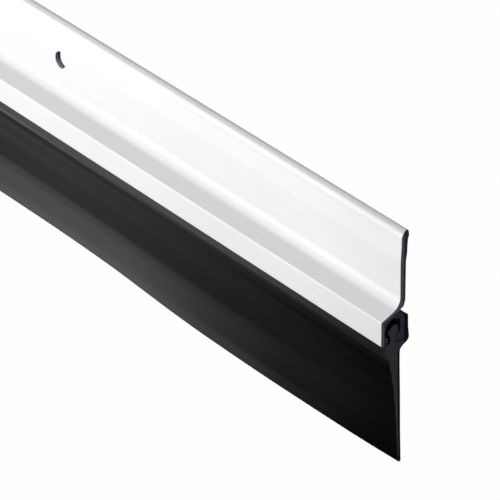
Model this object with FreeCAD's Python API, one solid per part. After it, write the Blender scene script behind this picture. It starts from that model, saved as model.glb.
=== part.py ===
import FreeCAD, Part
import math
import os

# Surface-mounted door sweep: one extruded aluminium carrier and one extruded
# rubber insert, both the full width of the door.  Millimetres.
#
# Row frame: X runs along the sweep, +Y points at the door, +Z is up.
# The origin lies on the carrier's flat back face, at half length, at the
# height of the screw holes.
#
# The two sections are laid out in section coordinates (y, z), where y = 0 is
# the front face of the channel, growing towards the door, and z = 0 is the
# ridge at the top of that front face.

# ------------------------------------------------------------- driving sizes
LENGTH = 914.4            # 36 in door
CHANNEL_BACK_Y = 7.44     # back wall of the channel
FLANGE_BACK_Y = 7.60      # flat back of the flange: the plane y = 0 of the row
SCREW_LINE_Z = 12.7       # screw holes above the ridge
SCREW_R = 2.38            # 3/16 in clearance hole for a No. 8 screw
SCREW_END = 152.4         # first hole from each end, 6 in
SCREW_PITCH = 203.2       # hole to hole, 8 in

SLOPE_RISE = 2.92         # where the sloped top would meet the flange front
FLANGE_FRONT_Y = 5.97     # flange front at its foot
FLANGE_MID_Y = 5.87       # flange front at its thinnest
BACK_LEAN_Z = 15.4        # height where the flange's back starts to lean
FLANGE_TOP_Z = 24.42
CHANNEL_BOTTOM_Z = -7.15
LIP_TIP_Z = -7.42

HINGE_Y, HINGE_Z = 4.40, -13.0   # flexing line of the blade, in the section
BLADE_R = 1.40                   # round head of the blade
SOCKET_R = 1.52                  # round seat above it
SOCKET_HALF_DEG = 45.0
TIP_Z = -43.1

# ------------------------------------------------------------------- helpers


def P(y, z, x=0.0):
    """Section point to row frame."""
    return FreeCAD.Vector(x, y - FLANGE_BACK_Y, z - SCREW_LINE_Z)


def rounded(points):
    """Edges of a closed outline from (y, z, corner radius) points: straight
    runs joined by tangent arcs."""
    n = len(points)
    ins, outs, arcs = [], [], []
    for i in range(n):
        y, z, r = points[i]
        py, pz, _ = points[i - 1]
        ny, nz, _ = points[(i + 1) % n]
        ay, az = py - y, pz - z
        by, bz = ny - y, nz - z
        la, lb = math.hypot(ay, az), math.hypot(by, bz)
        ay, az, by, bz = ay / la, az / la, by / lb, bz / lb
        cosw = max(-1.0, min(1.0, ay * by + az * bz))
        half = math.acos(cosw) / 2
        if r <= 0 or half > math.pi / 2 - 0.01:
            ins.append((y, z))
            outs.append((y, z))
            arcs.append(None)
            continue
        t = r / math.tan(half)
        limit = 0.48 * min(la, lb)
        if t > limit:
            t = limit
            r = t * math.tan(half)
        ins.append((y + ay * t, z + az * t))
        outs.append((y + by * t, z + bz * t))
        my, mz = ay + by, az + bz
        lm = math.hypot(my, mz)
        d = r / math.sin(half)
        cy, cz = y + my / lm * d, z + mz / lm * d
        arcs.append((cy - my / lm * r, cz - mz / lm * r))
    edges = []
    for i in range(n):
        if arcs[i]:
            edges.append(Part.Arc(P(*ins[i]), P(*arcs[i]), P(*outs[i])).toShape())
        a, b = outs[i], ins[(i + 1) % n]
        if math.hypot(a[0] - b[0], a[1] - b[1]) > 1e-6:
            edges.append(Part.LineSegment(P(*a), P(*b)).toShape())
    return edges


def extrude(edges):
    """Full-length solid, centred on X = 0, from the edges of a section."""
    wire = Part.Wire(Part.__sortEdges__(edges))
    solid = Part.Face(wire).extrude(FreeCAD.Vector(LENGTH, 0, 0))
    solid.translate(FreeCAD.Vector(-LENGTH / 2, 0, 0))
    return solid


# ------------------------------------------------------- aluminium carrier
# Clockwise from the ridge: sloped top, cove, thin flange whose top leans back
# and ends in a rounded bead, notch behind the flange's foot, back wall,
# inturned back lip, cavity, inturned front lip, front face.
back = CHANNEL_BACK_Y
carrier_outline = [
    (0.00, -0.12, 0.38),
    (FLANGE_FRONT_Y, SLOPE_RISE, 4.00),
    (FLANGE_MID_Y, 15.60, 6.0),
    (6.11, 20.40, 3.0),
    (6.15, 22.40, 1.0),
    (6.60, 23.54, 0.8),
    (7.30, FLANGE_TOP_Z - 0.14, 0.80),
    (7.96, FLANGE_TOP_Z, 0.42),
    (8.30, 23.90, 0.35),
    (8.46, 22.60, 0.30),
    (8.17, 21.85, 0.50),
    (8.02, 20.40, 2.0),
    (7.94, 17.70, 4.0),
    (FLANGE_BACK_Y, BACK_LEAN_Z, 0.9),
    (FLANGE_BACK_Y, 4.30, 1.60),
    (7.10, 2.55, 0.50),
    (6.10, 1.95, 0.20),
    (5.95, 1.36, 0.20),
    (back, -0.28, 0.35),
    (back, -6.80, 0.35),
    (7.20, CHANNEL_BOTTOM_Z, 0.20),
    (5.10, CHANNEL_BOTTOM_Z, 0.20),
    (4.97, -5.62, 0.25),
    (6.12, -4.25, 0.30),
    (6.18, -2.70, 1.0),
    (5.96, -0.62, 0.35),
    (4.42, -0.14, 0.60),
    (3.30, -0.06, 1.2),
    (1.80, -1.40, 1.5),
    (1.22, -3.20, 2.0),
    (1.14, -4.74, 0.15),
    (2.19, -5.36, 0.15),
    (2.22, -6.42, 0.12),
    (0.95, LIP_TIP_Z, 0.22),
    (0.00, -7.08, 0.22),
]
carrier = extrude(rounded(carrier_outline))
n_holes = 4
for i in range(n_holes):
    x = (i - (n_holes - 1) / 2) * SCREW_PITCH
    drill = Part.makeCylinder(
        SCREW_R, 12.0, FreeCAD.Vector(x, -8.0, 0.0), FreeCAD.Vector(0, 1, 0)
    )
    carrier = carrier.cut(drill)
assert abs((LENGTH - (n_holes - 1) * SCREW_PITCH) / 2 - SCREW_END) < 0.01

# ------------------------------------------------------------ rubber insert
# Head in the channel, neck between the lips, shoulder under the lips, and a
# leg that hooks up behind the channel to the notch.  Its underside is a round
# seat for the blade.
k = math.cos(math.radians(SOCKET_HALF_DEG)) * SOCKET_R
seat_back = (HINGE_Y + k, HINGE_Z + k)
seat_top = (HINGE_Y, HINGE_Z + SOCKET_R)
seat_front = (HINGE_Y - k, HINGE_Z + k)
root_outline = [
    (2.72, -6.92, 0.15),
    (2.88, -5.80, 0.60),
    (2.76, -4.92, 0.30),
    (2.20, -4.10, 0.15),
    (2.16, -3.62, 0.25),
    (2.80, -2.98, 0.50),
    (3.80, -1.92, 0.35),
    (4.92, -1.94, 0.50),
    (5.46, -2.84, 0.80),
    (5.44, -4.06, 0.35),
    (4.82, -5.25, 0.25),
    (4.78, -7.31, 0.12),
    (7.40, -7.31, 0.30),
    (7.63, -6.85, 0.30),
    (7.63, -0.20, 0.25),
    (6.16, 1.42, 0.06),
    (6.34, 1.62, 0.06),
    (8.60, -0.30, 0.40),
    (8.66, -3.60, 6.00),
    (9.00, -6.70, 0.45),
    (8.80, -7.50, 0.50),
    (8.05, -8.14, 1.00),
    (7.05, -8.74, 1.20),
    (6.36, -9.40, 0.90),
    (6.08, -10.20, 0.80),
    (6.08, -11.60, 0.15),
]
front_outline = [
    (2.66, -11.78, 0.10),
    (2.40, -11.42, 0.60),
    (1.62, -10.72, 0.30),
    (1.40, -9.20, 2.00),
    (1.18, -7.64, 0.12),
]


def root_face_edges():
    """Outline of the insert: the long way round from one end of the seat to
    the other, closed by the seat's arc."""
    pts = (
        [(seat_front[0], seat_front[1], 0.0)]
        + front_outline
        + root_outline
        + [(seat_back[0], seat_back[1], 0.0)]
    )
    edges = rounded(pts)
    # the last straight run joins the two ends of the seat: it becomes the arc
    chord = edges.pop()
    a, b = [v.Point for v in chord.Vertexes]
    assert {round(a.y, 4), round(b.y, 4)} == {
        round(P(*seat_back).y, 4),
        round(P(*seat_front).y, 4),
    }
    edges.append(Part.Arc(P(*seat_back), P(*seat_top), P(*seat_front)).toShape())
    return edges


insert = extrude(root_face_edges())

# ------------------------------------------------------------- rubber blade
# Long tapered blade, thick at the top and 1.1 mm near the tip, with a round
# head under the insert's seat.
front_side = [
    (3.02, -14.70),
    (3.46, -16.30),
    (3.92, -19.30),
    (4.36, -21.90),
    (4.66, -24.90),
    (4.90, -27.40),
    (5.08, -29.80),
    (5.32, -33.50),
    (5.66, -39.50),
    (6.00, TIP_Z),
]
back_side = [
    (6.84, TIP_Z),
    (6.78, -39.90),
    (6.58, -33.80),
    (6.47, -27.80),
    (6.36, -22.00),
    (6.20, -17.00),
]
head_front = (HINGE_Y - BLADE_R, HINGE_Z)
head_back = (HINGE_Y + BLADE_R, HINGE_Z)
head_top = (HINGE_Y, HINGE_Z + BLADE_R)
run = [head_front] + front_side + back_side + [head_back]
blade_edges = [
    Part.LineSegment(P(*a), P(*b)).toShape() for a, b in zip(run, run[1:])
]
blade_edges.append(Part.Arc(P(*head_back), P(*head_top), P(*head_front)).toShape())
blade = extrude(blade_edges)

# -------------------------------------------------------------------- output
os.makedirs("parts", exist_ok=True)
for name, solid in (
    ("aluminium_carrier", carrier),
    ("rubber_insert", insert),
    ("rubber_blade", blade),
):
    one = solid.Solids[0]
    assert len(solid.Solids) == 1 and one.isValid(), name
    one.exportStep("parts/" + name + ".step")
    box = one.BoundBox
    print(
        name,
        "volume mm3 %.0f" % one.Volume,
        "y %.2f..%.2f z %.2f..%.2f" % (box.YMin, box.YMax, box.ZMin, box.ZMax),
    )
print("carrier/insert overlap mm3 %.5f" % carrier.common(insert).Volume)
print("carrier/insert gap mm %.3f" % carrier.distToShape(insert)[0])
print("insert/blade overlap mm3 %.5f" % insert.common(blade).Volume)
print("insert/blade gap mm %.3f" % insert.distToShape(blade)[0])
for deg in (-45, 45):
    turned = blade.copy()
    turned.rotate(P(HINGE_Y, HINGE_Z), FreeCAD.Vector(1, 0, 0), deg)
    print(
        "blade at %d deg: gap to insert %.3f, to carrier %.3f"
        % (deg, insert.distToShape(turned)[0], carrier.distToShape(turned)[0])
    )
print("hinge at", P(HINGE_Y, HINGE_Z))
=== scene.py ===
import math

import bmesh
import bpy
import numpy as np
from mathutils import Matrix, Vector


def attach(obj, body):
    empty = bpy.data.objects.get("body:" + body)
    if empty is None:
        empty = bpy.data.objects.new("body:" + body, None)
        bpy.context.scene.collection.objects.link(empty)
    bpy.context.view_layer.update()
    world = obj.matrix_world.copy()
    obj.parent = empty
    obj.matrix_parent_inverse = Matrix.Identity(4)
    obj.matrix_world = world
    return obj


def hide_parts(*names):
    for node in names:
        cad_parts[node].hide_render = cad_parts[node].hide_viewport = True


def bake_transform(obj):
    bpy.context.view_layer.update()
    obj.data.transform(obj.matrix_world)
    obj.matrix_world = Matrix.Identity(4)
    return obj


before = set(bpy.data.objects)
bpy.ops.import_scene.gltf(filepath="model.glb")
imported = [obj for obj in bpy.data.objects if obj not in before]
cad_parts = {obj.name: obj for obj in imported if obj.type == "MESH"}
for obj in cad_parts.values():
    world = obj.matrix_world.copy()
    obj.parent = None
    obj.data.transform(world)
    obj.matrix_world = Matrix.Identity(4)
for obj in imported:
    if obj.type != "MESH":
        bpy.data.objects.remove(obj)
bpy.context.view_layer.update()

MM = 0.001

# ---------------------------------------------------------------- dimensions
# Section coordinates (y, z) in millimetres: y = 0 is the channel's front face,
# growing towards the door, z = 0 is the ridge above it.  Row frame: the back
# face is y = 0 and the screw line is z = 0.
LENGTH = 914.4
BACK_Y = 7.60
SCREW_Z = 12.7
SCREW_R = 2.38
HOLES_X = (-304.8, -101.6, 101.6, 304.8)
HALF = LENGTH / 2
TIP_Z = -43.1


def row(x, y, z):
    return (x * MM, (y - BACK_Y) * MM, (z - SCREW_Z) * MM)


# ------------------------------------------------------------ section helpers


def outline(points, step_deg=7.0):
    """Sampled closed outline from (y, z, corner radius) points. Returns the
    samples and, for each, whether it opens a straight run."""
    n = len(points)
    samples, opens = [], []
    for i in range(n):
        y, z, r = points[i]
        p, q = points[i - 1], points[(i + 1) % n]
        a = np.array([p[0] - y, p[1] - z])
        b = np.array([q[0] - y, q[1] - z])
        la, lb = np.linalg.norm(a), np.linalg.norm(b)
        a, b = a / la, b / lb
        half = math.acos(max(-1.0, min(1.0, float(a @ b)))) / 2
        if r <= 0 or half > math.pi / 2 - 0.01:
            samples.append((y, z))
            opens.append(True)
            continue
        t = r / math.tan(half)
        limit = 0.48 * min(la, lb)
        if t > limit:
            t, r = limit, limit * math.tan(half)
        corner = np.array([y, z])
        m = (a + b) / np.linalg.norm(a + b)
        centre = corner + m * r / math.sin(half)
        s, e = corner + a * t, corner + b * t
        a0 = math.atan2(*(s - centre)[::-1])
        a1 = math.atan2(*(e - centre)[::-1])
        turn = (a1 - a0 + math.pi) % (2 * math.pi) - math.pi
        k = max(2, math.ceil(abs(math.degrees(turn)) / step_deg))
        for j in range(k + 1):
            w = a0 + turn * j / k
            samples.append(
                (centre[0] + r * math.cos(w), centre[1] + r * math.sin(w))
            )
            opens.append(j == k)
    return samples, opens


def divide(samples, opens, longest, keep=None):
    """Adds points along the straight runs, closer together at their ends.
    keep(y, z) says that a point may not be added there."""
    out = []
    n = len(samples)
    for i in range(n):
        p, q = np.array(samples[i]), np.array(samples[(i + 1) % n])
        out.append(tuple(p))
        d = float(np.linalg.norm(q - p))
        if not opens[i] or d < 0.5:
            continue
        near = min(0.2, d / 4)
        k = max(1, math.ceil((d - 2 * near) / longest))
        at = [near + (d - 2 * near) * j / k for j in range(k + 1)]
        for s in at:
            c = p + (q - p) * s / d
            if keep is None or not keep(c[0], c[1]):
                out.append((float(c[0]), float(c[1])))
    return out


def inward(samples, amount):
    """The outline moved towards its inside by amount."""
    pts = np.array(samples)
    nxt, prv = np.roll(pts, -1, 0), np.roll(pts, 1, 0)
    area = 0.5 * np.sum(pts[:, 0] * nxt[:, 1] - nxt[:, 0] * pts[:, 1])
    e1, e2 = pts - prv, nxt - pts
    e1 /= np.linalg.norm(e1, axis=1)[:, None]
    e2 /= np.linalg.norm(e2, axis=1)[:, None]
    t = e1 + e2
    t /= np.linalg.norm(t, axis=1)[:, None]
    sign = 1.0 if area > 0 else -1.0
    normal = np.stack([-t[:, 1], t[:, 0]], axis=1) * sign
    return [tuple(p) for p in pts + normal * amount]


def finish_mesh(bm, name):
    bmesh.ops.recalc_face_normals(bm, faces=bm.faces[:])
    me = bpy.data.meshes.new(name)
    bm.to_mesh(me)
    bm.free()
    me.validate()
    ob = bpy.data.objects.new(name, me)
    bpy.context.scene.collection.objects.link(ob)
    return ob


# ------------------------------------------------------------- aluminium mesh
carrier_points = [
    (0.00, -0.12, 0.38),
    (5.97, 2.92, 4.00),
    (5.87, 15.60, 6.0),
    (6.11, 20.40, 3.0),
    (6.15, 22.40, 1.0),
    (6.60, 23.54, 0.8),
    (7.30, 24.28, 0.80),
    (7.96, 24.42, 0.42),
    (8.30, 23.90, 0.35),
    (8.46, 22.60, 0.30),
    (8.17, 21.85, 0.50),
    (8.02, 20.40, 2.0),
    (7.94, 17.70, 4.0),
    (BACK_Y, 15.40, 0.9),
    (BACK_Y, 4.30, 1.60),
    (7.10, 2.55, 0.50),
    (6.10, 1.95, 0.20),
    (5.95, 1.36, 0.20),
    (7.44, -0.28, 0.35),
    (7.44, -6.80, 0.35),
    (7.20, -7.15, 0.20),
    (5.10, -7.15, 0.20),
    (4.97, -5.62, 0.25),
    (6.12, -4.25, 0.30),
    (6.18, -2.70, 1.0),
    (5.96, -0.62, 0.35),
    (4.42, -0.14, 0.60),
    (3.30, -0.06, 1.2),
    (1.80, -1.40, 1.5),
    (1.22, -3.20, 2.0),
    (1.14, -4.74, 0.15),
    (2.19, -5.36, 0.15),
    (2.22, -6.42, 0.12),
    (0.95, -7.42, 0.22),
    (0.00, -7.08, 0.22),
]
HOLE_LOW, HOLE_HIGH = SCREW_Z - 4.2, SCREW_Z + 2.62


def in_hole_band(y, z):
    return y > 5.0 and HOLE_LOW + 0.01 < z < HOLE_HIGH - 0.01


def with_band(samples, opens):
    """Puts points at the edges of the band that holds the screw holes."""
    out, flags = [], []
    n = len(samples)
    for i in range(n):
        p, q = samples[i], samples[(i + 1) % n]
        out.append(p)
        flags.append(opens[i])
        if not opens[i]:
            continue
        cuts = []
        for level in (HOLE_LOW, HOLE_HIGH):
            if p[0] > 5.0 and (p[1] - level) * (q[1] - level) < 0:
                s = (level - p[1]) / (q[1] - p[1])
                cuts.append((s, (p[0] + (q[0] - p[0]) * s, level)))
        for _, c in sorted(cuts):
            out.append(c)
            flags.append(True)
    return out, flags


def build_carrier():
    samples, opens = outline(carrier_points)
    samples, opens = with_band(samples, opens)
    section = divide(samples, opens, 1.2, keep=in_hole_band)
    n = len(section)
    bevel = 0.04
    inner = inward(section, bevel)
    stations = [-HALF, -HALF + bevel]
    for hx in HOLES_X:
        stations += [hx - 4.5, hx + 4.5]
    stations += [HALF - bevel, HALF]
    bm = bmesh.new()
    rings = []
    for j, x in enumerate(stations):
        use = inner if j in (0, len(stations) - 1) else section
        rings.append([bm.verts.new(row(x, y, z)) for y, z in use])
    band = [
        i
        for i in range(n)
        if section[i][0] > 5.0
        and section[(i + 1) % n][0] > 5.0
        and {round(section[i][1], 4), round(section[(i + 1) % n][1], 4)}
        == {round(HOLE_LOW, 4), round(HOLE_HIGH, 4)}
    ]
    assert len(band) == 2, band
    hole_cells = {2 + 2 * k: hx for k, hx in enumerate(HOLES_X)}
    tubes = {}
    for j in range(len(stations) - 1):
        end = j in (0, len(stations) - 2)
        for i in range(n):
            k = (i + 1) % n
            if j in hole_cells and i in band:
                tubes.setdefault(j, []).append(i)
                continue
            f = bm.faces.new(
                (rings[j][i], rings[j + 1][i], rings[j + 1][k], rings[j][k])
            )
            f.smooth = not end
            my = (section[i][0] + section[k][0]) / 2
            mz = (section[i][1] + section[k][1]) / 2
            # painted shade: faces inside the channel get the near-black material
            inside = 1.0 < my < 6.3 and -5.5 < mz < 0.05
            f.material_index = 1 if end else (2 if inside else 0)
    for ring in (rings[0], rings[-1]):
        f = bm.faces.new(ring)
        f.material_index = 1
        f.smooth = False
    # screw holes: flat faces round each, a small broken edge, and the wall
    arc_n = 40
    for j, cells in tubes.items():
        hx = hole_cells[j]
        walls = []
        for i in cells:
            k = (i + 1) % n
            (y0, z0), (y1, z1) = section[i], section[k]

            def at(x, z, dy=0.0):
                y = y0 + (y1 - y0) * (z - z0) / (z1 - z0)
                return row(x, y + dy, z)

            middle = (section[i][0] + section[k][0]) / 2
            into = 0.18 if middle < 6.6 else -0.18
            rim, lip = [], []
            for s in range(arc_n):
                w = 2 * math.pi * s / arc_n
                c, d = math.cos(w), math.sin(w)
                rim.append(
                    bm.verts.new(
                        at(hx + (SCREW_R + 0.16) * c, SCREW_Z + (SCREW_R + 0.16) * d)
                    )
                )
                lip.append(
                    bm.verts.new(
                        at(hx + SCREW_R * c, SCREW_Z + SCREW_R * d, into)
                    )
                )
            low, high = (i, k) if z0 < z1 else (k, i)
            corner = {
                0: rings[j + 1][high],
                1: rings[j][high],
                2: rings[j][low],
                3: rings[j + 1][low],
            }
            eighth = arc_n // 8
            for quarter in range(4):
                # the quarter between this corner and the next
                start = eighth + quarter * arc_n // 4
                run = [rim[(start + s) % arc_n] for s in range(arc_n // 4 + 1)]
                f = bm.faces.new(
                    [corner[quarter]] + run + [corner[(quarter + 1) % 4]]
                )
                f.smooth = True
            for s in range(arc_n):
                t = (s + 1) % arc_n
                f = bm.faces.new((rim[s], rim[t], lip[t], lip[s]))
                f.smooth = False
                f.material_index = 1
            walls.append(lip)
        for s in range(arc_n):
            t = (s + 1) % arc_n
            f = bm.faces.new((walls[0][s], walls[0][t], walls[1][t], walls[1][s]))
            f.smooth = True
            f.material_index = 1
    for e in bm.edges:
        if len({f.material_index for f in e.link_faces}) > 1:
            e.smooth = False
    ob = finish_mesh(bm, "carrier_extrusion")
    return ob


carrier = build_carrier()

# ---------------------------------------------------------------- rubber mesh
rubber_points = [
    (1.62, -10.72, 0.30),
    (1.40, -9.20, 2.00),
    (1.18, -7.64, 0.12),
    (2.72, -6.92, 0.15),
    (2.88, -5.80, 0.60),
    (2.76, -4.92, 0.30),
    (2.20, -4.10, 0.15),
    (2.16, -3.62, 0.25),
    (2.80, -2.98, 0.50),
    (3.80, -1.92, 0.35),
    (4.92, -1.94, 0.50),
    (5.46, -2.84, 0.80),
    (5.44, -4.06, 0.35),
    (4.82, -5.25, 0.25),
    (4.78, -7.31, 0.12),
    (7.40, -7.31, 0.30),
    (7.63, -6.85, 0.30),
    (7.63, -0.20, 0.25),
    (6.16, 1.42, 0.10),
    (6.34, 1.62, 0.10),
    (8.60, -0.30, 0.40),
    (8.66, -3.60, 6.00),
    (9.00, -6.70, 0.45),
    (8.80, -7.50, 0.50),
    (8.05, -8.14, 1.00),
    (7.05, -8.74, 1.20),
    (6.36, -9.40, 0.90),
    (6.08, -10.20, 0.80),
    (6.10, -13.00, 4.00),
    (6.20, -17.00, 20.0),
    (6.36, -22.00, 30.0),
    (6.47, -27.80, 30.0),
    (6.58, -33.80, 30.0),
    (6.78, -39.90, 20.0),
    (6.86, TIP_Z, 0.28),
    (6.04, TIP_Z, 0.28),
    (5.66, -39.50, 20.0),
    (5.32, -33.50, 30.0),
    (5.08, -29.80, 30.0),
    (4.90, -27.40, 30.0),
    (4.66, -24.90, 30.0),
    (4.36, -21.90, 30.0),
    (3.92, -19.30, 20.0),
    (3.46, -16.30, 12.0),
    (3.06, -14.40, 5.0),
    (2.84, -12.60, 2.0),
    (2.40, -11.42, 0.80),
]

# How far the blade's free edge stands from the straight line, at distances
# back from the +X end: rubber keeps a slight wave from being coiled.
WAVE = (
    (0, 0.10), (15, -0.60), (30, -0.96), (60, -1.33), (85, -1.15),
    (100, -0.66), (115, 0.12), (133, 0.98), (160, 1.40), (200, 1.15),
    (240, 0.20), (280, -0.70), (320, -1.05), (360, -0.65), (400, 0.15),
    (450, 0.90), (500, 0.65), (550, -0.25), (600, -0.90), (650, -0.75),
    (700, 0.05), (750, 0.80), (800, 0.85), (850, 0.25), (880, -0.20),
    (915, -0.60),
)


def wave(back):
    """Smooth curve through WAVE, with monotone slopes."""
    xs = np.array([w[0] for w in WAVE], float)
    ys = np.array([w[1] for w in WAVE], float)
    h, d = np.diff(xs), np.diff(ys) / np.diff(xs)
    m = np.zeros(len(xs))
    for i in range(1, len(xs) - 1):
        if d[i - 1] * d[i] > 0:
            w1, w2 = 2 * h[i] + h[i - 1], h[i] + 2 * h[i - 1]
            m[i] = (w1 + w2) / (w1 / d[i - 1] + w2 / d[i])
    m[0], m[-1] = d[0], d[-1]
    i = int(np.clip(np.searchsorted(xs, back, "right") - 1, 0, len(h) - 1))
    t = (back - xs[i]) / h[i]
    return float(
        (2 * t**3 - 3 * t**2 + 1) * ys[i]
        + (t**3 - 2 * t**2 + t) * h[i] * m[i]
        + (3 * t**2 - 2 * t**3) * ys[i + 1]
        + (t**3 - t**2) * h[i] * m[i + 1]
    )


def build_rubber():
    samples, opens = outline(rubber_points, 9.0)
    section = divide(samples, opens, 0.9)
    n = len(section)
    bevel = 0.03
    inner = inward(section, bevel)
    steps = 150
    stations = [-HALF, -HALF + bevel]
    stations += [-HALF + LENGTH * s / steps for s in range(1, steps)]
    stations += [HALF - bevel, HALF]
    bm = bmesh.new()
    made = bm.verts.layers.float_vector.new("as_extruded")
    rings = []
    for j, x in enumerate(stations):
        use = inner if j in (0, len(stations) - 1) else section
        off = wave(HALF - x)
        ring = []
        for y, z in use:
            share = max(0.0, (-13.0 - z) / (-13.0 - TIP_Z))
            v = bm.verts.new(row(x, y + off * share**1.7, z))
            v[made] = row(x, y, z)
            ring.append(v)
        rings.append(ring)
    for j in range(len(stations) - 1):
        end = j in (0, len(stations) - 2)
        for i in range(n):
            k = (i + 1) % n
            f = bm.faces.new(
                (rings[j][i], rings[j + 1][i], rings[j + 1][k], rings[j][k])
            )
            f.smooth = not end
            middle = (section[i][1] + section[k][1]) / 2
            kind = 0
            if -12.7 > middle > -28.8 or middle < -42.6:
                kind = 2
            elif -28.8 >= middle > -30.4:
                kind = 3
            elif -30.4 >= middle > -32.3:
                kind = 4
            elif -12.7 <= middle < -10.8 and section[i][0] < 3.5:
                kind = 5
            f.material_index = 1 if end else kind
    for ring in (rings[0], rings[-1]):
        f = bm.faces.new(ring)
        f.material_index = 1
        f.smooth = False
    for e in bm.edges:
        kinds = {f.material_index for f in e.link_faces}
        if len(kinds) > 1 and 1 in kinds:
            e.smooth = False
    return finish_mesh(bm, "rubber_extrusion")


rubber = build_rubber()

# ------------------------------------------------------------------ materials


class Nodes:
    """Short names for building a material's nodes."""

    def __init__(self, name, place=None):
        self.m = bpy.data.materials.new(name)
        self.m.use_nodes = True
        self.t = self.m.node_tree
        self.t.nodes.clear()
        self.out = self.t.nodes.new("ShaderNodeOutputMaterial")
        self.bsdf = self.t.nodes.new("ShaderNodeBsdfPrincipled")
        self.t.links.new(self.bsdf.outputs[0], self.out.inputs[0])
        if place:
            # coordinates kept with the mesh, so the pattern bends with it
            kept = self.t.nodes.new("ShaderNodeAttribute")
            kept.attribute_type = "GEOMETRY"
            kept.attribute_name = place
            self.coord = kept.outputs["Vector"]
        else:
            self.coord = self.t.nodes.new("ShaderNodeTexCoord").outputs["Object"]

    def set(self, **values):
        for key, v in values.items():
            self.bsdf.inputs[key.replace("_", " ")].default_value = v

    def link(self, a, b):
        self.t.links.new(a, b)

    def mapping(self, scale, offset=(0, 0, 0)):
        n = self.t.nodes.new("ShaderNodeMapping")
        n.inputs["Scale"].default_value = scale
        n.inputs["Location"].default_value = offset
        self.link(self.coord, n.inputs["Vector"])
        return n.outputs["Vector"]

    def noise(self, scale, vector, detail=3.0, rough=0.5, distort=0.0):
        n = self.t.nodes.new("ShaderNodeTexNoise")
        n.inputs["Scale"].default_value = scale
        n.inputs["Detail"].default_value = detail
        n.inputs["Roughness"].default_value = rough
        n.inputs["Distortion"].default_value = distort
        self.link(vector, n.inputs["Vector"])
        return n.outputs["Fac"]

    def ramp(self, fac, low, high, out_low, out_high, smooth=False):
        n = self.t.nodes.new("ShaderNodeMapRange")
        if smooth:
            n.interpolation_type = "SMOOTHSTEP"
        n.inputs["From Min"].default_value = low
        n.inputs["From Max"].default_value = high
        n.inputs["To Min"].default_value = out_low
        n.inputs["To Max"].default_value = out_high
        self.link(fac, n.inputs["Value"])
        return n.outputs["Result"]

    def math(self, op, a, b):
        n = self.t.nodes.new("ShaderNodeMath")
        n.operation = op
        for i, v in enumerate((a, b)):
            if isinstance(v, (int, float)):
                n.inputs[i].default_value = v
            else:
                self.link(v, n.inputs[i])
        return n.outputs[0]

    def mix(self, fac, a, b):
        n = self.t.nodes.new("ShaderNodeMix")
        n.data_type = "RGBA"
        self.link(fac, n.inputs["Factor"])
        for key, v in (("A", a), ("B", b)):
            sock = [s for s in n.inputs if s.name == key and s.type == "RGBA"][0]
            if isinstance(v, tuple):
                sock.default_value = (*v, 1.0)
            else:
                self.link(v, sock)
        return [s for s in n.outputs if s.type == "RGBA"][0]

    def bump(self, height, strength, distance):
        n = self.t.nodes.new("ShaderNodeBump")
        n.inputs["Strength"].default_value = strength
        n.inputs["Distance"].default_value = distance
        self.link(height, n.inputs["Height"])
        self.link(n.outputs["Normal"], self.bsdf.inputs["Normal"])
        return n


def aluminium_skin():
    """Satin clear-anodised extrusion: fine die lines along the length, faint
    wider streaks, and slight handling marks. The channel front below the
    ridge and the top bead carry painted shade: they are coloured darker."""
    n = Nodes("satin_aluminium")
    fine = n.noise(1.0, n.mapping((3.0, 2600.0, 2600.0)), 2.0)
    wide = n.noise(1.0, n.mapping((1.5, 420.0, 420.0), (3, 1, 7)), 3.0)
    cloud = n.noise(14.0, n.mapping((1, 1, 1), (5, 2, 1)), 4.0, 0.6)
    split = n.t.nodes.new("ShaderNodeSeparateXYZ")
    n.link(n.coord, split.inputs[0])
    # painted shade: the channel front below the ridge gets a slightly darker colour than the
    # flange
    below = n.ramp(
        split.outputs["Z"],
        (-1.2 - SCREW_Z) * MM,
        (-0.2 - SCREW_Z) * MM,
        1.0,
        0.0,
        True,
    )
    lines = n.math("ADD", n.math("MULTIPLY", fine, 0.55), n.math("MULTIPLY", wide, 0.45))
    upper = n.mix(
        n.ramp(lines, 0.32, 0.68, 0.0, 1.0),
        (0.895, 0.878, 0.892),
        (0.940, 0.924, 0.938),
    )
    lower = n.mix(
        n.ramp(lines, 0.32, 0.68, 0.0, 1.0),
        (0.880, 0.861, 0.874),
        (0.925, 0.907, 0.920),
    )
    # painted shade: the up-facing top bead of the flange is coloured darker grey, standing in for
    # the dimmer light from above
    bead_painted_shade = n.ramp(
        split.outputs["Z"],
        (22.8 - SCREW_Z) * MM,
        (24.0 - SCREW_Z) * MM,
        0.0,
        1.0,
        True,
    )
    body = n.mix(below, upper, lower)
    n.link(n.mix(bead_painted_shade, body, (0.700, 0.682, 0.700)), n.bsdf.inputs["Base Color"])
    rough = n.math("ADD", n.ramp(lines, 0.3, 0.7, 0.40, 0.47), n.ramp(cloud, 0.35, 0.7, 0.0, 0.05))
    rough = n.math("ADD", rough, n.math("MULTIPLY", below, 0.03))
    n.link(rough, n.bsdf.inputs["Roughness"])
    n.set(Metallic=0.92)
    n.bump(lines, 0.10, 0.00004)
    return n.m


def aluminium_inside_painted_shade():
    """Inside of the channel: coloured near-black as painted shade, out of the light."""
    n = Nodes("channel_inside_painted_shade")
    lines = n.noise(1.0, n.mapping((3.0, 900.0, 900.0), (2, 5, 1)), 3.0)
    n.link(
        n.mix(n.ramp(lines, 0.3, 0.7, 0.0, 1.0), (0.045, 0.040, 0.048), (0.085, 0.078, 0.090)),
        n.bsdf.inputs["Base Color"],
    )
    n.set(Metallic=0.6, Roughness=0.6)
    n.bump(lines, 0.10, 0.00004)
    return n.m


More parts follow.
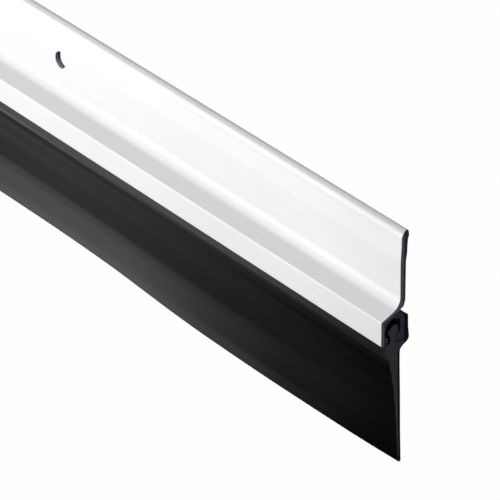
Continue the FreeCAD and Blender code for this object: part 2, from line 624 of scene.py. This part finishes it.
def aluminium_cut():
    """Bare saw cut: dull, dark metal with fine curved saw marks, coloured lighter along the front
    skin and darker behind it as painted light and shade.
    """
    n = Nodes("saw_cut_aluminium")
    wave_tex = n.t.nodes.new("ShaderNodeTexWave")
    wave_tex.wave_type = "RINGS"
    wave_tex.rings_direction = "X"
    wave_tex.inputs["Scale"].default_value = 900.0
    wave_tex.inputs["Distortion"].default_value = 1.2
    wave_tex.inputs["Detail"].default_value = 2.0
    n.link(n.mapping((0.0, 1.0, 1.0), (0.0, 0.05, -0.12)), wave_tex.inputs["Vector"])
    grain = n.noise(2600.0, n.mapping((1, 1, 1)), 3.0, 0.6)
    marks = n.math(
        "ADD",
        n.math("MULTIPLY", wave_tex.outputs["Fac"], 0.5),
        n.math("MULTIPLY", grain, 0.5),
    )
    split = n.t.nodes.new("ShaderNodeSeparateXYZ")
    n.link(n.coord, split.inputs[0])
    # painted light and shade: the flat cut is coloured lighter near the front skin and darker
    # further behind it
    front = n.mix(
        n.ramp(marks, 0.2, 0.8, 0.0, 1.0), (0.335, 0.295, 0.365), (0.455, 0.415, 0.500)
    )
    rear = n.mix(
        n.ramp(marks, 0.2, 0.8, 0.0, 1.0), (0.112, 0.083, 0.190), (0.160, 0.122, 0.268)
    )
    # depth behind the outer front skin: flange, sloped step and channel front
    y, z = split.outputs["Y"], split.outputs["Z"]
    y = n.math("ADD", y, BACK_Y * MM)
    z = n.math("ADD", z, SCREW_Z * MM)
    flange = n.math("SUBTRACT", y, 5.95 * MM)
    step = n.math("SUBTRACT", n.math("MULTIPLY", y, 0.4384), n.math("MULTIPLY", z, 0.8988))
    depth = n.math("MINIMUM", y, n.math("MAXIMUM", flange, step))
    back = n.ramp(depth, 0.70 * MM, 1.20 * MM, 0.0, 1.0, True)
    n.link(n.mix(back, front, rear), n.bsdf.inputs["Base Color"])
    n.link(n.ramp(marks, 0.2, 0.8, 0.62, 0.48), n.bsdf.inputs["Roughness"])
    n.set(Metallic=0.75)
    n.bump(marks, 0.25, 0.00003)
    return n.m


def rubber_skin(name, sheen, rougher=0.0):
    """Black extruded rubber: satin, with fine draw lines, a faint bloom in
    patches, and a shoulder band under the channel coloured lighter grey as
    a painted highlight. sheen is its specular level: the thick upper part
    of the blade is duller, and the hollow under the shoulder has a broader
    sheen."""
    n = Nodes(name, "as_extruded")
    fine = n.noise(1.0, n.mapping((6.0, 1800.0, 1800.0), (1, 4, 2)), 2.0)
    wide = n.noise(1.0, n.mapping((2.5, 260.0, 260.0), (7, 2, 3)), 3.0)
    bloom = n.noise(26.0, n.mapping((0.6, 1, 1), (2, 9, 4)), 4.0, 0.6)
    grain = n.noise(5200.0, n.mapping((1, 1, 1)), 2.0)
    lines = n.math("ADD", n.math("MULTIPLY", fine, 0.5), n.math("MULTIPLY", wide, 0.5))
    split = n.t.nodes.new("ShaderNodeSeparateXYZ")
    n.link(n.coord, split.inputs[0])
    z = split.outputs["Z"]
    zz = lambda v: (v - SCREW_Z) * MM
    # painted highlight: the shoulder band under the channel is coloured lighter grey than the rest
    # of the skin
    band = n.math(
        "MULTIPLY",
        n.ramp(z, zz(-12.6), zz(-11.7), 0.0, 1.0, True),
        n.ramp(z, zz(-7.6), zz(-7.3), 1.0, 0.0, True),
    )
    body = n.mix(
        n.ramp(bloom, 0.35, 0.75, 0.0, 1.0), (0.0034, 0.0034, 0.0036), (0.0050, 0.0050, 0.0053)
    )
    n.link(n.mix(band, body, (0.030, 0.030, 0.025)), n.bsdf.inputs["Base Color"])
    # the lower, thinner part of the blade is smoother than the upper part
    smooth = n.ramp(z, zz(-31.0), zz(-28.2), -0.12, 0.0, True)
    smooth = n.math("ADD", smooth, n.math("MULTIPLY", band, -0.10))
    rough = n.math("ADD", n.ramp(lines, 0.3, 0.7, 0.32 + rougher, 0.35 + rougher), smooth)
    n.link(rough, n.bsdf.inputs["Roughness"])
    n.set(Metallic=0.0, Specular_IOR_Level=sheen)
    n.bump(n.math("ADD", lines, n.math("MULTIPLY", grain, 0.35)), 0.05, 0.00003)
    return n.m


def rubber_cut():
    """Knife-cut rubber: matt, a little greyer than the skin."""
    n = Nodes("cut_rubber", "as_extruded")
    grain = n.noise(2200.0, n.mapping((1, 1, 1)), 4.0, 0.65)
    drag = n.noise(1.0, n.mapping((1.0, 300.0, 1500.0)), 3.0)
    marks = n.math("ADD", n.math("MULTIPLY", grain, 0.5), n.math("MULTIPLY", drag, 0.5))
    face = n.mix(
        n.ramp(marks, 0.3, 0.7, 0.0, 1.0), (0.058, 0.055, 0.062), (0.090, 0.085, 0.096)
    )
    # painted shade: the back edge of the blade and the rear leg are coloured near-black on the cut
    split = n.t.nodes.new("ShaderNodeSeparateXYZ")
    n.link(n.coord, split.inputs[0])
    depth = n.math(
        "ADD", split.outputs["Y"], n.math("MULTIPLY", split.outputs["Z"], 0.0241)
    )
    strip = n.math(
        "MULTIPLY",
        n.ramp(depth, -3.00 * MM, -2.60 * MM, 0.0, 1.0, True),
        n.ramp(
            split.outputs["Z"],
            (-10.4 - SCREW_Z) * MM,
            (-9.4 - SCREW_Z) * MM,
            1.0,
            0.0,
            True,
        ),
    )
    leg_painted_shade = n.ramp(
        split.outputs["Y"], (7.25 - BACK_Y) * MM, (7.60 - BACK_Y) * MM, 0.0, 1.0, True
    )
    back = n.math("MAXIMUM", strip, leg_painted_shade)
    n.link(n.mix(back, face, (0.009, 0.009, 0.010)), n.bsdf.inputs["Base Color"])
    n.set(Roughness=0.7, Specular_IOR_Level=0.2)
    n.bump(marks, 0.2, 0.00004)
    return n.m


for material in (aluminium_skin(), aluminium_cut(), aluminium_inside_painted_shade()):
    carrier.data.materials.append(material)
for material in (
    rubber_skin("black_rubber", 0.047),
    rubber_cut(),
    rubber_skin("black_rubber_dull", 0.017),
    rubber_skin("black_rubber_low", 0.026),
    rubber_skin("black_rubber_mid", 0.036),
    rubber_skin("black_rubber_hollow", 0.26, 0.22),
):
    rubber.data.materials.append(material)

# ------------------------------------------------------------ joining to CAD
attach(carrier, "carrier")
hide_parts("aluminium_carrier")
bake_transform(rubber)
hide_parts("rubber_insert", "rubber_blade")

# --------------------------------------------------------------------- camera
AZ, EL = math.radians(53.651), math.radians(28.223)
FOCAL_PX = 4688.9
right = Vector((math.cos(AZ), math.sin(AZ), 0))
up = Vector((-math.sin(AZ) * math.sin(EL), math.cos(AZ) * math.sin(EL), math.cos(EL)))
forward = Vector((-math.sin(AZ) * math.cos(EL), math.cos(AZ) * math.cos(EL), -math.sin(EL)))
near_ridge = Vector(row(HALF, 0, 0))
eye = near_ridge + Vector((816.152, -641.974, 578.000)) * MM
cam = bpy.data.cameras.new("camera")
cam.sensor_fit = "HORIZONTAL"
cam.sensor_width = 36.0
cam.lens = FOCAL_PX / 500.0 * 36.0
cam.clip_start, cam.clip_end = 0.05, 60.0
camera = bpy.data.objects.new("camera", cam)
bpy.context.scene.collection.objects.link(camera)
camera.matrix_world = Matrix(
    (
        (right.x, up.x, -forward.x, eye.x),
        (right.y, up.y, -forward.y, eye.y),
        (right.z, up.z, -forward.z, eye.z),
        (0, 0, 0, 1),
    )
)
bpy.context.scene.camera = camera

# ---------------------------------------------------------------------- stage
scene = bpy.context.scene
scene.view_settings.view_transform = "Standard"
scene.view_settings.look = "None"

floor_me = bpy.data.meshes.new("floor")
FLOOR_Z = -0.42
floor_me.from_pydata(
    [(-60, -60, FLOOR_Z), (60, -60, FLOOR_Z), (60, 60, FLOOR_Z), (-60, 60, FLOOR_Z)],
    [],
    [(0, 1, 2, 3)],
)
floor = bpy.data.objects.new("floor", floor_me)
scene.collection.objects.link(floor)
fm = bpy.data.materials.new("floor_white")
fm.use_nodes = True
ft = fm.node_tree
ft.nodes.clear()
fo = ft.nodes.new("ShaderNodeOutputMaterial")
fe = ft.nodes.new("ShaderNodeEmission")
fe.inputs["Color"].default_value = (0.99, 0.99, 0.99, 1)
fe.inputs["Strength"].default_value = 1.0
ft.links.new(fe.outputs[0], fo.inputs[0])
floor_me.materials.append(fm)
floor.visible_diffuse = False
floor.visible_glossy = False
floor.visible_transmission = False
floor.visible_shadow = False


def soft_world():
    """Studio surround: even and bright above, dim below, and plain white where
    the camera looks past the object."""
    w = bpy.data.worlds.new("studio")
    scene.world = w
    w.use_nodes = True
    t = w.node_tree
    t.nodes.clear()
    out = t.nodes.new("ShaderNodeOutputWorld")
    coord = t.nodes.new("ShaderNodeTexCoord")
    split = t.nodes.new("ShaderNodeSeparateXYZ")
    t.links.new(coord.outputs["Generated"], split.inputs[0])
    height = t.nodes.new("ShaderNodeMapRange")
    height.interpolation_type = "SMOOTHSTEP"
    height.inputs["From Min"].default_value = 0.0
    height.inputs["From Max"].default_value = 0.5
    height.inputs["To Min"].default_value = WORLD_LOW
    height.inputs["To Max"].default_value = WORLD_HIGH
    t.links.new(split.outputs["Z"], height.inputs["Value"])
    side = t.nodes.new("ShaderNodeMapRange")
    side.interpolation_type = "SMOOTHSTEP"
    side.inputs["From Min"].default_value = 0.0
    side.inputs["From Max"].default_value = 0.8
    side.inputs["To Min"].default_value = 1.0
    side.inputs["To Max"].default_value = 1.25
    t.links.new(split.outputs["X"], side.inputs["Value"])
    rear = t.nodes.new("ShaderNodeMapRange")
    rear.interpolation_type = "SMOOTHSTEP"
    rear.inputs["From Min"].default_value = 0.1
    rear.inputs["From Max"].default_value = 0.95
    rear.inputs["To Min"].default_value = 1.0
    rear.inputs["To Max"].default_value = 0.45
    t.links.new(split.outputs["Y"], rear.inputs["Value"])
    part = t.nodes.new("ShaderNodeMath")
    part.operation = "MULTIPLY"
    t.links.new(rear.outputs["Result"], part.inputs[0])
    t.links.new(side.outputs["Result"], part.inputs[1])
    both = t.nodes.new("ShaderNodeMath")
    both.operation = "MULTIPLY"
    t.links.new(height.outputs["Result"], both.inputs[0])
    t.links.new(part.outputs[0], both.inputs[1])
    lit = t.nodes.new("ShaderNodeBackground")
    t.links.new(both.outputs[0], lit.inputs["Strength"])
    seen = t.nodes.new("ShaderNodeBackground")
    seen.inputs["Color"].default_value = (0.99, 0.99, 0.99, 1)
    path = t.nodes.new("ShaderNodeLightPath")
    mix = t.nodes.new("ShaderNodeMixShader")
    t.links.new(path.outputs["Is Camera Ray"], mix.inputs[0])
    t.links.new(lit.outputs[0], mix.inputs[1])
    t.links.new(seen.outputs[0], mix.inputs[2])
    t.links.new(mix.outputs[0], out.inputs[0])


WORLD_LOW, WORLD_HIGH = 0.045, 0.855
soft_world()


def softbox(name, at, to, size_x, size_y, radiance, only=None):
    """Rectangular soft light of a given radiance. only limits it to some
    pieces."""
    d = bpy.data.lights.new(name, "AREA")
    d.shape = "RECTANGLE"
    d.size, d.size_y = size_x, size_y
    d.energy = radiance * math.pi * size_x * size_y
    o = bpy.data.objects.new(name, d)
    scene.collection.objects.link(o)
    o.location = at
    o.rotation_mode = "QUATERNION"
    o.rotation_quaternion = (Vector(to) - Vector(at)).to_track_quat("-Z", "Y")
    o.visible_camera = False
    if only:
        group = bpy.data.collections.new(name + "_lights")
        for piece in only:
            group.objects.link(piece)
        o.light_linking.receiver_collection = group
    return o


# large box low at the front left, whose reflection lies on the upright faces
softbox("front_box", (-0.17, -0.42, -0.25), (0.36, 0.0, 0.0), 0.90, 0.62, 1.16, (carrier,))
# bright strip level with the sweep, which the cove and the ridge pick up
softbox("strip", (-0.12, -0.49, 0.135), (0.40, 0.0, 0.0), 0.80, 0.70, 0.64, (carrier,))
# broad boxes behind, for the side that faces the door; they stop short of the
# +X end, so they don't reach its cut face
softbox("back_box", (-0.16, 0.55, -0.14), (-0.16, 0.0, -0.14), 1.16, 0.62, 0.85, (carrier,))
softbox("back_low", (-0.16, 0.55, -0.16), (-0.16, 0.0, -0.16), 1.16, 0.50, 2.2, (rubber,))
# low card whose soft sheen lies on the rubber and fades out towards +X
aim = Vector((-0.7097, -0.487, -0.509)).normalized()
corner = Vector((0.407, -0.0023, -0.0460)) + aim * 0.50
card_h = Vector((0, 0, 1)).cross(aim).normalized()
if card_h.x > 0:
    card_h = -card_h
card_v = aim.cross(card_h).normalized()
if card_v.z < 0:
    card_v = -card_v
CARD_W, CARD_T = 0.50, 0.12
card_at = corner + card_h * CARD_W / 2
softbox("low_card", card_at, card_at - aim, CARD_W, CARD_T, 2.3, (rubber,))
